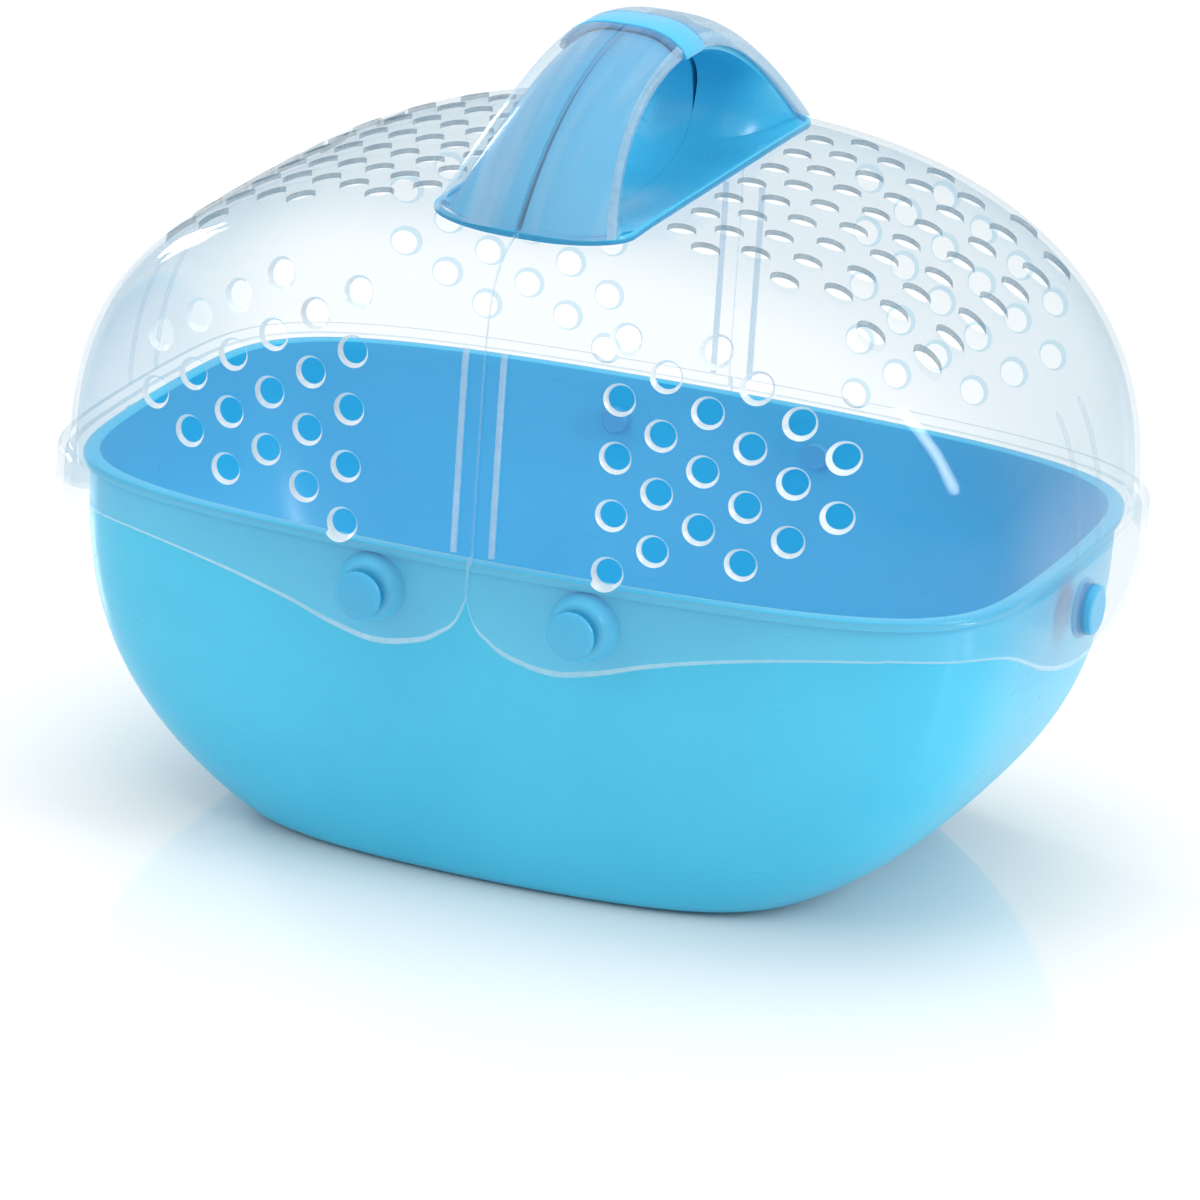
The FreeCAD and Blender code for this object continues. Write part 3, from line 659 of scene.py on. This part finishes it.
def makeGripHalf():
    # loops from the seam plane to the mouth of the opening, flaring as share^3.2
    # over the arch, as share^2 across the finger bowl
    n = gripShape["columns"]
    R = gripShape["radius"] - gripShape["cover"]
    t = np.linspace(-1, 1, n)
    foot = math.acos((gripShape["rim"] - 1.2 - gripShape["centre"]) / R)
    outA = radial(R, t * foot)
    edgeR = R - gripShape["fall"]
    mouthFoot = math.acos((gripShape["rim"] - gripShape["centre"]) / (edgeR - gripShape["edge"]))
    mouthIn = radial(edgeR - gripShape["edge"], t * mouthFoot)
    mouthOut = radial(edgeR, t * math.acos((gripShape["rim"] - gripShape["centre"]) / edgeR))
    mouthX = gripHalfAt(t * mouthFoot) - 2.2
    halfY, midZ, halfZ = gripShape["opening"]
    turn = quarter + t * math.radians(118)
    q = 2 / gripShape["openingPower"]
    cosT, sinT = np.cos(turn), np.sin(turn)
    inA = (-halfY * np.sign(cosT) * np.abs(cosT) ** q, midZ + halfZ * np.sign(sinT) * np.abs(sinT) ** q)
    # bowl part, from the rear foot back to the front foot
    s = -t[1:-1]
    inB = (halfY * np.sign(s) * np.abs(np.sin(s * math.radians(62))) ** q,
           midZ - halfZ * np.abs(np.cos(s * math.radians(62))) ** q)
    mouthY = s * mouthIn[0][-1]
    sideX = saddleShape["halfX"] - 0.4
    corner = np.clip((np.abs(s) - 0.90) / 0.10, 0, 1) ** 2
    mouthBX = sideX + (mouthX[0] - sideX) * corner
    inMouthB = (mouthY, np.full(len(s), gripShape["rim"] + 0.2))
    outMouthB = (mouthY, np.full(len(s), gripShape["rim"] - 1.6))
    outBY = s * outA[0][-1]
    under = gripShape["rim"] - 1.4
    outB = (outBY, under - (under - gripShape["bowl"] + gripShape["bowlWall"]) * (1 - np.abs(s) ** 2.4))
    blend = 0.5 - 0.5 * np.cos(math.pi * np.clip((1 - np.abs(s)) / 0.35, 0, 1))
    power = np.concatenate([np.full(n, gripShape["flare"]), gripShape["flare"] - 1.2 * blend])
    xMouth = np.concatenate([mouthX, mouthBX])
    seamLoop = np.stack([np.concatenate(p) for p in zip(inA, inB)])
    mouthLoop = np.stack([np.concatenate(p) for p in zip(mouthIn, inMouthB)])
    outSeam = np.stack([np.concatenate(p) for p in zip(outA, outB)])
    outMouth = np.stack([np.concatenate(p) for p in zip(mouthOut, outMouthB)])
    # the seam stands open up the legs; on the outside it is widest at their feet
    gap = 0.04 + 0.75 * np.clip((seamLoop[1] - 197) / 9, 0, 1)
    rows = []
    for v in np.linspace(0, 1, 26) ** 0.8:
        w = v ** power
        yz = seamLoop + (mouthLoop - seamLoop) * w
        rows.append(np.stack([gap + (xMouth - gap) * v, yz[0], yz[1]], 1))
    gap = np.where(np.arange(len(gap)) < n, 0.12 + 0.55 * np.clip((232 - outSeam[1]) / 36, 0, 1), gap)
    for v in np.linspace(1, 0, 26) ** 0.8:
        w = v ** power
        yz = outSeam + (outMouth - outSeam) * w
        rows.append(np.stack([gap + (xMouth - gap) * v, yz[0], yz[1]], 1))
    points = np.stack(rows) * [-1, 1, 1]
    shell = Shell().add(points, [gridFaces(len(rows), points.shape[1], closeRows=True, closeCols=True)])
    # raised rim that fills the saddle's edge in the lid
    sideX, sideY = saddleLine(-0.25)
    innerX, innerY = saddleLine(-1.6)
    steps = len(sideX)
    level = domeTop(sideX, sideY)
    section = [(0.0, -1.8), (0.0, 0.0), (0.12, 0.22), (0.4, 0.3), (0.8, 0.2), (1.0, -0.1), (1.0, -2.2)]
    band = np.stack([np.stack([-(np.maximum(0.3, sideX + (innerX - sideX) * k)),
                               sideY + (innerY - sideY) * k, level + up], 1) for k, up in section])
    ends = (np.arange(len(section)) * steps)[None, :]
    shell.add(band, [gridFaces(len(section), steps, closeRows=True), ends, (ends + steps - 1)[:, ::-1]])
    return tidied(shell.mesh("grip_half_left", [gripBlue]), 0.00001, 40.0)


def domeTop(x, y):
    # height of the dome over a point, from a table of its level outlines
    h = np.linspace(0.55, lidShape["crown"], 1500)
    a, b = domeHalf(0.0, h)
    n = outline["power"]
    inside = (np.abs(x)[:, None] / a[None, :]) ** n + (np.abs(y)[:, None] / b[None, :]) ** n < 1
    count = inside.sum(1).clip(1, len(h))
    return tubShape["rim"] + lidShape["rise"] * h[count - 1]


def domeBlock(grow):
    # solid dome a little larger than the lid, to cut the covers' feet to it
    angle = np.linspace(0, 2 * math.pi, 200, endpoint=False)
    h = np.sin(np.linspace(0.5, quarter, 70))
    a, b = domeHalf(-grow, h)
    a[-1] = b[-1] = 0.0
    x, y = squaredOval(a[:, None], b[:, None], angle[None, :])
    z = np.broadcast_to((tubShape["rim"] + (lidShape["rise"] + grow) * h)[:, None], x.shape)
    bottom = np.stack([0 * angle, 0 * angle, z[0]], 1)
    points = np.concatenate([bottom[None], np.stack([x, y, z], -1)])
    return tidied(Shell().add(points, [gridFaces(71, 200, closeCols=True)]).mesh("dome_block", []), 0.00001)


coverShape = {"wall": 2.2, "gap": 0.15, "skirt": 2.9, "start": 7.97, "columns": 70}


def makeCover(end):
    # outer crest and inner face follow r = R - fall (x/w)^3.2, joined by a rounded lower edge
    R, fall = gripShape["radius"], gripShape["fall"]
    start = math.asin(coverShape["start"] / R)
    stop = math.asin(gripShape["footY"] / R) * 1.04
    angle = end * np.linspace(start, stop, coverShape["columns"])
    w = gripHalfAt(angle)
    wi = w - coverShape["wall"] + coverShape["gap"]
    low = R - fall - coverShape["skirt"]
    v = np.linspace(0, 1, 30) ** 0.85
    section = [(lidShape["seam"] + (w - lidShape["seam"]) * k, R - fall * k ** 3.2) for k in v]
    section += [(w, low + 0.9), (w - 0.15, low + 0.35), (w - 0.55, low + 0.05), (w - 1.0, low),
                (wi + 0.5, low + 0.05), (wi + 0.12, low + 0.35), (wi, low + 0.8)]
    section += [(lidShape["seam"] + (wi - lidShape["seam"]) * k, R - coverShape["wall"] - fall * k ** 3.2)
                for k in v[::-1]]
    rows = []
    for x, r in section:
        y, z = radial(r, angle)
        rows.append(np.stack([-(x + 0 * angle), y, z], 1))
    points = np.stack(rows)
    n, cols = len(rows), len(angle)
    # the rounded lower edge takes the cover edge finish, a painted highlight strip
    marks = np.zeros(n, int)
    marks[26:38] = 1
    first = (np.arange(n) * cols)[None, :]
    shell = Shell().add(points, [gridFaces(n, cols, closeRows=True), first, (first + cols - 1)[:, ::-1]],
                        [np.repeat(marks, cols - 1), 1, 1])
    return tidied(carved(shell.mesh("cover", [coverClear, coverEdge]), domeBlock(0.9)), 0.00001, 34.0)


def makeGrip():
    data = makeGripHalf()
    fit(newPiece("grip_half_left", data), "left_half", ["handle_left"])
    fit(newPiece("grip_half_right", mirroredMesh(data, "grip_half_right")), "right_half",
        ["handle_right"])
    for end, word in ((-1, "front"), (1, "rear")):
        data = makeCover(end)
        name = "cover_" + word + "_left_shell"
        fit(newPiece(name, data), "left_half", ["cover_" + word + "_left"])
        name = "cover_" + word + "_right_shell"
        fit(newPiece(name, mirroredMesh(data, name)), "right_half", ["cover_" + word + "_right"])


makeGrip()
print("grip and covers made")


claspShape = {"halfY": 7.0, "wall": 2.2, "pin": (17.6, 227.4), "barrel": 2.2, "lip": 1.4, "low": 228.1,
              "bevel": 0.5}


def makeClasp():
    # strap section: crest curve out and back, a thumb lip on the right, a barrel round the pin
    R, fall = 236.0, gripShape["fall"]
    w = gripShape["half"]
    wi = w - claspShape["wall"] + coverShape["gap"]
    px, pz = claspShape["pin"]
    r = claspShape["barrel"]
    k = np.linspace(-1, 1, 61)
    outer = np.stack([k * w, R - fall * np.abs(k) ** 3.2], 1)
    low = claspShape["low"]
    lip = np.array([(w + 0.7, low + 1.9), (w + claspShape["lip"], low + 1.1),
                    (w + claspShape["lip"], low + 0.3), (w + 0.9, low), (wi + 0.2, low), (wi, low + 0.4)])
    inner = np.stack([k[::-1] * wi, R - claspShape["wall"] - fall * np.abs(k) ** 3.2], 1)
    turn = np.linspace(math.radians(20), math.radians(-190), 26)
    knuckle = np.stack([-px + r * np.cos(turn), pz + r * np.sin(turn)], 1)
    outlineXZ = np.concatenate([outer, lip, inner, knuckle])
    n = len(outlineXZ)
    points = np.concatenate([np.stack([outlineXZ[:, 0], np.full(n, y), outlineXZ[:, 1]], 1)
                             for y in (-claspShape["halfY"], claspShape["halfY"])])
    shell = Shell().add(points, [gridFaces(2, n, closeCols=True), np.arange(n)[None, ::-1],
                                 np.arange(n, 2 * n)[None, :]])
    piece = newPiece("clasp_strap", shell.mesh("clasp_strap", [claspBlue]))
    edge = piece.modifiers.new("edge", "BEVEL")
    edge.width, edge.segments, edge.limit_method = claspShape["bevel"] * milli, 3, "ANGLE"
    edge.angle_limit = math.radians(50)
    view = bpy.context.evaluated_depsgraph_get()
    piece.data = bpy.data.meshes.new_from_object(piece.evaluated_get(view))
    piece.modifiers.clear()
    tidied(piece.data, 0.00001, 40.0)
    fit(piece, "clasp", ["clasp"])
    half = claspShape["halfY"] + 3.35
    pin = lathe([(0.001, -half), (0.8, -half), (1.0, -half + 0.1), (1.1, -half + 0.35), (1.1, half - 0.35),
                 (1.0, half - 0.1), (0.8, half), (0.001, half)], (-px, 0.0, pz), "y", 40)
    fit(newPiece("clasp_pin_rod", tidied(pin.mesh("clasp_pin_rod", [pinSteel]))), "left_half",
        ["clasp_pin"])


def makeDiscs():
    pivot = tubShape["pivot"]
    for side, word in ((-1, "left"), (1, "right")):
        for end, place in ((-1, "front"), (1, "rear")):
            name = "pivot_pin_" + place + "_" + word
            low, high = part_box(name)
            near, far = sorted((low.y / milli, high.y / milli), key=abs)
            face = abs(far)
            profile = [(0.01, end * abs(near)), (3.6, end * abs(near)), (4.0, end * (abs(near) + 0.4)),
                       (4.0, end * (face - 1.7)), (6.7, end * (face - 1.6)), (7.0, end * (face - 1.35)),
                       (6.95, end * (face - 1.0)), (6.6, end * (face - 0.62)), (6.0, end * (face - 0.34)),
                       (5.2, end * (face - 0.14)), (4.0, end * (face - 0.03)), (0.01, end * face)]
            disc = lathe(profile, (side * pivot[0], 0.0, pivot[1]), "y")
            fit(newPiece("disc_" + place + "_" + word, tidied(disc.mesh(name + "_disc", [discBlue]))),
                "base", [name])
        name = "end_button_" + word
        low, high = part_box(name)
        inner, outer = sorted((abs(low.x) / milli, abs(high.x) / milli))
        profile = [(0.01, side * inner), (2.1, side * inner), (2.1, side * (inner + 1.0)),
                   (8.7, side * (inner + 1.05)), (8.8, side * (inner + 1.6)), (8.6, side * (inner + 2.15)),
                   (7.2, side * (inner + 2.2)), (7.2, side * (outer - 0.9)), (7.0, side * (outer - 0.4)),
                   (6.4, side * (outer - 0.1)), (5.4, side * outer), (0.01, side * (outer - 0.5))]
        knob = lathe(profile, (0.0, 0.0, pivot[1]), "x")
        fit(newPiece("button_" + word, tidied(knob.mesh(name + "_knob", [discBlue]))),
            word + "_button", [name])


makeClasp()
makeDiscs()
print("clasp, discs and buttons made")


def makeFloor():
    data = bpy.data.meshes.new("floor")
    corners = [(-8, -8, -0.0003), (8, -8, -0.0003), (8, 8, -0.0003), (-8, 8, -0.0003)]
    data.from_pydata(corners, [], [(0, 1, 2, 3)])
    g = Graph("floor_white")
    where = g.place()
    slow = g.noise(where, 3.0, 3.0, 0.5)
    data.materials.append(g.finish(g.node("BsdfPrincipled", None, {
        "Base Color": g.blendColour(slow, (0.945, 0.918, 0.890), (0.955, 0.928, 0.900)),
        "Roughness": 0.05 + 0.04 * slow, "IOR": 1.75})))
    floor = newPiece("floor", data)


def softBox(name, spot, aim, size, power, shade=(1.0, 1.0, 1.0)):
    light = bpy.data.lights.new(name, "AREA")
    light.shape, light.size, light.size_y = "RECTANGLE", size[0], size[1]
    light.energy, light.color = power, shade
    lamp = bpy.data.objects.new(name, light)
    lamp.location = spot
    lamp.rotation_mode = "QUATERNION"
    lamp.rotation_quaternion = (Vector(aim) - Vector(spot)).to_track_quat("-Z", "Y")
    bpy.context.scene.collection.objects.link(lamp)
    return lamp


def makeCamera():
    view = {"azimuth": 20.8042, "elevation": 18.5964, "roll": 3.8716, "lens": 264.3098,
            "distance": 2.52206, "slide": (-0.0018858, -0.0411932), "centre": (0.0, 0.0, 0.1062)}
    az, el, roll = (math.radians(view[k]) for k in ("azimuth", "elevation", "roll"))
    back = Vector((math.sin(az) * math.cos(el), -math.cos(az) * math.cos(el), math.sin(el)))
    right = Vector((math.cos(az), math.sin(az), 0.0))
    up = back.cross(right)
    right, up = (math.cos(roll) * right + math.sin(roll) * up, -math.sin(roll) * right + math.cos(roll) * up)
    lens = bpy.data.cameras.new("camera")
    lens.sensor_width, lens.lens = 36.0, view["lens"]
    lens.clip_start, lens.clip_end = 0.1, 60.0
    camera = bpy.data.objects.new("camera", lens)
    spot = Vector(view["centre"]) + view["slide"][0] * right + view["slide"][1] * up + view["distance"] * back
    turn = Matrix((right, up, back)).transposed().to_4x4()
    camera.matrix_world = Matrix.Translation(spot) @ turn
    bpy.context.scene.collection.objects.link(camera)
    bpy.context.scene.camera = camera


makeFloor()
softBox("overhead", (-0.3, 0.2, 2.2), (0, 0, 0.1), (2.4, 2.0), 30.0).visible_glossy = False
softBox("frontLeft", (-1.3, -1.6, 1.2), (0, 0, 0.1), (0.9, 0.9), 6.0).visible_glossy = False
softBox("rightSide", (1.55, -0.14, 0.85), (0.12, -0.07, 0.15), (0.26, 0.9), 10.0)
softBox("backLeft", (-1.25, 0.87, 0.53), (-0.10, -0.07, 0.17), (0.26, 0.26), 4.5)
makeCamera()

scene = bpy.context.scene
world = bpy.data.worlds.new("studio")
world.use_nodes = True
world.node_tree.nodes["Background"].inputs["Color"].default_value = (0.985, 0.993, 1.0, 1.0)
world.node_tree.nodes["Background"].inputs["Strength"].default_value = 0.72
scene.world = world
scene.view_settings.view_transform = "Standard"
scene.cycles.transparent_max_bounces = 40
print("stage made")
